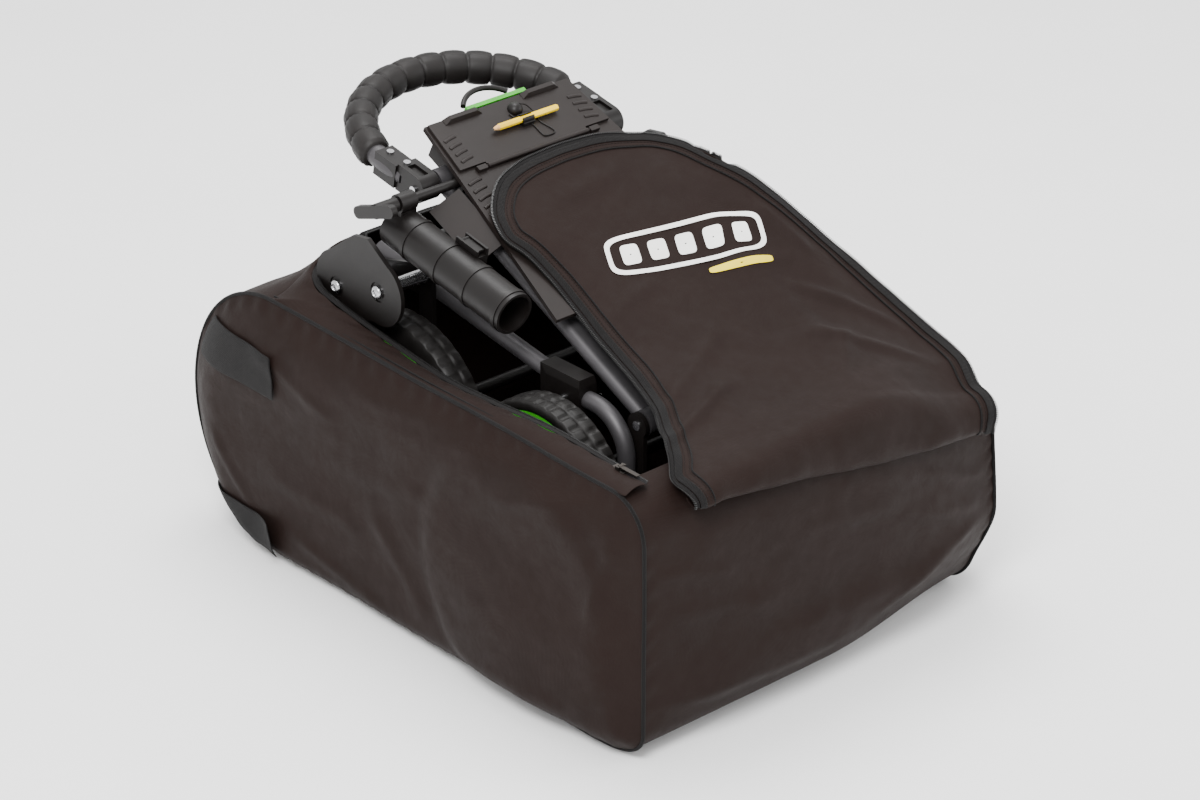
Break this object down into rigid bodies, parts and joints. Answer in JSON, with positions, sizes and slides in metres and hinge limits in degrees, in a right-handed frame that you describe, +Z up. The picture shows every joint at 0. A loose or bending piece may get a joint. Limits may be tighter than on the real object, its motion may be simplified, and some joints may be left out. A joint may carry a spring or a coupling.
{
  "type": "folded push cart in a travel cover",
  "caption": "Folded four-wheel push cart lying in an unzipped soft travel cover, with flap, handle, console, umbrella holder and wheels that move.",
  "frame": {"origin": "middle of the whole object's footprint, on the floor under the cover", "axes": "+Y from the cover's front panel toward the handle end, +X to the right seen from the front, +Z up"},
  "size_m": [0.6444, 0.8654, 0.5809],
  "materials": {
    "cover_nylon": "woven nylon, matt",
    "binding": "woven tape",
    "zip_plastic": "moulded coil",
    "zip_metal": "die-cast",
    "frame_tube": "satin grey",
    "black_plastic": "fine texture",
    "console_plastic": "satin",
    "tyre_rubber": "chunky tread",
    "rim_plastic": "satin grey",
    "lime_plastic": "gloss",
    "grip_rubber": "soft ribbed",
    "steel": "plated",
    "pencil_paint": "lacquered"
  },
  "bodies": {
    "cover": {"side_panel_left": "cover_nylon", "side_panel_right": "cover_nylon", "front_panel": "cover_nylon", "bottom_panel": "cover_nylon", "back_panel": "cover_nylon", "top_border": "cover_nylon", "back_yoke": "cover_nylon", "front_fold": "cover_nylon", "side_piping": "binding", "zip_teeth": "zip_plastic", "strap_upper": "binding", "strap_lower": "binding", "lower_side_tubes": "frame_tube", "lower_cross_tubes": "frame_tube", "base_rails": "frame_tube", "knuckles": "black_plastic", "bent_tubes": "frame_tube", "front_legs": "black_plastic", "rear_legs": "black_plastic", "fold_brackets": "black_plastic", "fold_pin": "steel", "front_axle": "steel", "rear_axle": "steel", "side_plates": "black_plastic", "frame_fasteners": "steel"},
    "flap": {"flap_panel": "cover_nylon", "flap_zip_tape": "binding"},
    "zip_slider": {"zip_slider": "zip_metal"},
    "zip_pull": {"zip_pull": "zip_metal"},
    "wheel_front_left": {"tyre_front_left": "tyre_rubber", "rim_front_left": "rim_plastic", "ring_front_left": "lime_plastic"},
    "wheel_front_right": {"tyre_front_right": "tyre_rubber", "rim_front_right": "rim_plastic", "ring_front_right": "lime_plastic"},
    "wheel_rear_left": {"tyre_rear_left": "tyre_rubber", "rim_rear_left": "rim_plastic", "ring_rear_left": "lime_plastic"},
    "wheel_rear_right": {"tyre_rear_right": "tyre_rubber", "rim_rear_right": "rim_plastic", "ring_rear_right": "lime_plastic"},
    "upper_frame": {"upper_tubes": "frame_tube", "upper_cross_tubes": "frame_tube", "handle_pins": "steel", "console_tray": "console_plastic", "console_wings": "console_plastic", "trim_strip": "lime_plastic", "cup_ring": "black_plastic", "umbrella_arm": "black_plastic"},
    "lid": {"console_lid": "console_plastic", "pencil_clip": "black_plastic"},
    "pencil": {"pencil": "pencil_paint"},
    "handle": {"handle_tube": "frame_tube", "handle_grip": "grip_rubber", "handle_end_left": "black_plastic", "handle_end_right": "black_plastic", "handle_screws": "steel"},
    "umbrella": {"umbrella_holder": "black_plastic"},
    "latch": {"umbrella_latch": "black_plastic"},
    "knob": {"umbrella_knob": "black_plastic"}
  },
  "joints": [
    {"name": "flap_fold", "type": "hinge", "parent": "cover", "child": "flap", "pos_m": [0, -0.40075, 0.35], "axis": [1, 0, 0], "range_deg": [0, 165]},
    {"name": "zip_slide", "type": "slide", "parent": "cover", "child": "zip_slider", "axis": [0, 0.9998, 0.0208], "range_m": [0, 0.55]},
    {"name": "zip_pull_swing", "type": "hinge", "parent": "zip_slider", "child": "zip_pull", "pos_m": [-0.264, -0.33993, 0.35197], "axis": [1, 0, 0], "range_deg": [-140, 0]},
    {"name": "frame_fold", "type": "hinge", "parent": "cover", "child": "upper_frame", "pos_m": [0, -0.23475, 0.321], "axis": [1, 0, 0], "range_deg": [-5, 0]},
    {"name": "handle_tilt", "type": "hinge", "parent": "upper_frame", "child": "handle", "pos_m": [0, 0.14091, 0.50885], "axis": [1, 0, 0], "range_deg": [-10, 100]},
    {"name": "umbrella_swing", "type": "hinge", "parent": "upper_frame", "child": "umbrella", "pos_m": [-0.207, 0.108, 0.51654], "axis": [1, 0, 0], "range_deg": [-95, 0]},
    {"name": "umbrella_knob_turn", "type": "hinge", "parent": "upper_frame", "child": "knob", "pos_m": [-0.207, 0.108, 0.51654], "axis": [1, 0, 0], "continuous": true},
    {"name": "umbrella_latch_lift", "type": "hinge", "parent": "umbrella", "child": "latch", "pos_m": [-0.188, 0.01939, 0.49051], "axis": [1, 0, 0], "range_deg": [-85, 0]},
    {"name": "lid_open", "type": "hinge", "parent": "upper_frame", "child": "lid", "pos_m": [0, 0.09887, 0.53031], "axis": [1, 0, 0], "range_deg": [0, 100]},
    {"name": "pencil_slide", "type": "slide", "parent": "lid", "child": "pencil", "axis": [1, 0, 0], "range_m": [0, 0.05]},
    {"name": "front_left_spin", "type": "hinge", "parent": "cover", "child": "wheel_front_left", "pos_m": [-0.205, -0.15275, 0.227], "axis": [1, 0, 0], "continuous": true},
    {"name": "front_right_spin", "type": "hinge", "parent": "cover", "child": "wheel_front_right", "pos_m": [0.205, -0.15275, 0.227], "axis": [1, 0, 0], "continuous": true},
    {"name": "rear_left_spin", "type": "hinge", "parent": "cover", "child": "wheel_rear_left", "pos_m": [-0.205, 0.11725, 0.219], "axis": [1, 0, 0], "continuous": true},
    {"name": "rear_right_spin", "type": "hinge", "parent": "cover", "child": "wheel_rear_right", "pos_m": [0.205, 0.11725, 0.219], "axis": [1, 0, 0], "continuous": true}
  ]
}
